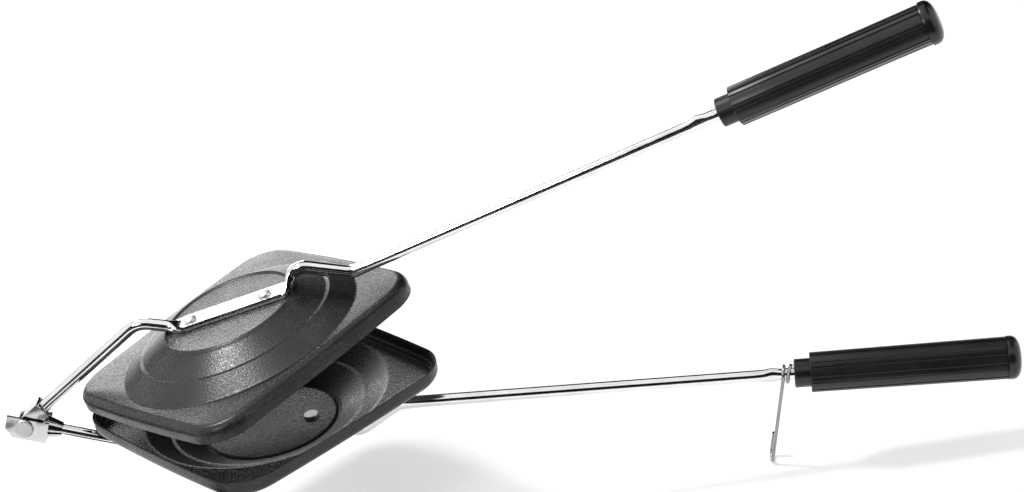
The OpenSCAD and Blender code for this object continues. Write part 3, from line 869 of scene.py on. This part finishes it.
CAP_R = 0.010
CAP_RIM = 0.003
CAP_DOME = 0.0035
CAP_EDGE = 0.0022
CAP_FULLNESS = 0.62
PLUG_R = 0.00597
PLUG_LEN = 0.0034
cap_line = [(PLUG_R - 0.0003, -PLUG_LEN), (PLUG_R, -PLUG_LEN + 0.0003), (PLUG_R, 0),
            (CAP_R - 0.0005, 0), (CAP_R - 0.0001, 0.00015), (CAP_R, 0.0005), (CAP_R, CAP_EDGE)]
for step in range(1, 10):
    angle = math.radians(88 * step / 9)
    cap_line.append((CAP_R * math.cos(angle) ** CAP_FULLNESS,
                     CAP_EDGE + (CAP_RIM + CAP_DOME - CAP_EDGE) * math.sin(angle)))
cap = turned_piece("cap_on_bench", cap_line, 64, 35)
cap_black = moulded_black("cap_black", 0.005, 0.2, 0.06)
for arm, place in (("lower", LOWER_ARM), ("upper", UPPER_ARM)):
    spot = place @ ALONG_RUN @ Matrix.Translation((GRIP_LEN, 0, 0)) @ LAY_DOWN
    lay_on_arm(cap, f"{arm}_moulded_cap", spot, f"{arm}_arm", f"{arm}_end_cap", cap_black)
clear_bench(cap)

# ---- Wire latch ------------------------------------------------------------
# One length of spring wire: a free end, one open turn round the lower rod, a long leg and a
# hook for the upper rod. It hangs and swings freely between the pinched ears and the collar.

WIRE_R = 0.00085
LATCH_LEN = 0.0479
LATCH_LEAN = math.radians(9.7)
LATCH_HANG = math.radians(4)
LATCH_GAP = 0.0052
HOOK_R = 0.004
HOOK_LEN = 0.008
COIL_R = 0.00375
COIL_LEAD = 0.0022
STUB_LEN = 0.0074
STUB_LEAN = 0.0018


def latch_points():
    """The wire's middle line about the rod's axis: free end, turn, long leg, hook."""
    points = []
    for k in range(5):
        t = 1 - k / 5
        points.append(Vector((COIL_LEAD + STUB_LEAN * t ** 2, -COIL_R, -STUB_LEN * t)))
    turns = 28
    for step in range(turns + 1):
        angle = 2 * math.pi * step / turns
        points.append(Vector((COIL_LEAD * (1 - step / turns),
                              -COIL_R * math.cos(angle), COIL_R * math.sin(angle))))
    # the long leg leaves the end of the turn and leans towards the pans
    lean = Matrix.Rotation(-LATCH_LEAN, 4, "Y")
    down = LATCH_LEN - HOOK_R
    leg = [Vector((0, 0, down * k / 12)) for k in range(1, 13)]
    bend = [Vector((0, HOOK_R - HOOK_R * math.cos(a), down + HOOK_R * math.sin(a)))
            for a in [math.pi * k / 14 for k in range(1, 15)]]
    short = [Vector((0, 2 * HOOK_R, down - HOOK_LEN * k / 6)) for k in range(1, 7)]
    points += [lean @ spot + Vector((0, -COIL_R, 0)) for spot in leg + bend + short]
    return points


bpy.ops.object.select_all(action="DESELECT")
wire_line = bpy.data.curves.new("wire_line", "CURVE")
wire_line.dimensions = "3D"
wire_line.bevel_depth = WIRE_R
wire_line.bevel_resolution = 6
wire_line.use_fill_caps = True
spline = wire_line.splines.new("POLY")
spots = latch_points()
spline.points.add(len(spots) - 1)
for point, spot in zip(spline.points, spots):
    point.co = (*spot, 1)
latch = bpy.data.objects.new("latch_on_bench", wire_line)
bpy.context.collection.objects.link(latch)
latch.select_set(True)
bpy.context.view_layer.objects.active = latch
bpy.ops.object.convert(target="MESH")
latch = bpy.context.object
bpy.ops.object.mode_set(mode="EDIT")
leave_shape(latch, 40)
latch_wire = plating("latch_wire", (0.34, 0.345, 0.355), 0.12, 0.08)
HANG = Matrix.Translation((-LATCH_GAP, 0, 0)) @ Matrix.Rotation(-LATCH_HANG, 4, "X")
lay_on_arm(latch, "swinging_wire_latch", LOWER_ARM @ ALONG_RUN @ HANG, "latch", "wire_latch", latch_wire)
clear_bench(latch)

# ---- Close -----------------------------------------------------------------
bpy.context.scene.view_settings.view_transform = "Standard"
bpy.ops.object.select_all(action="DESELECT")
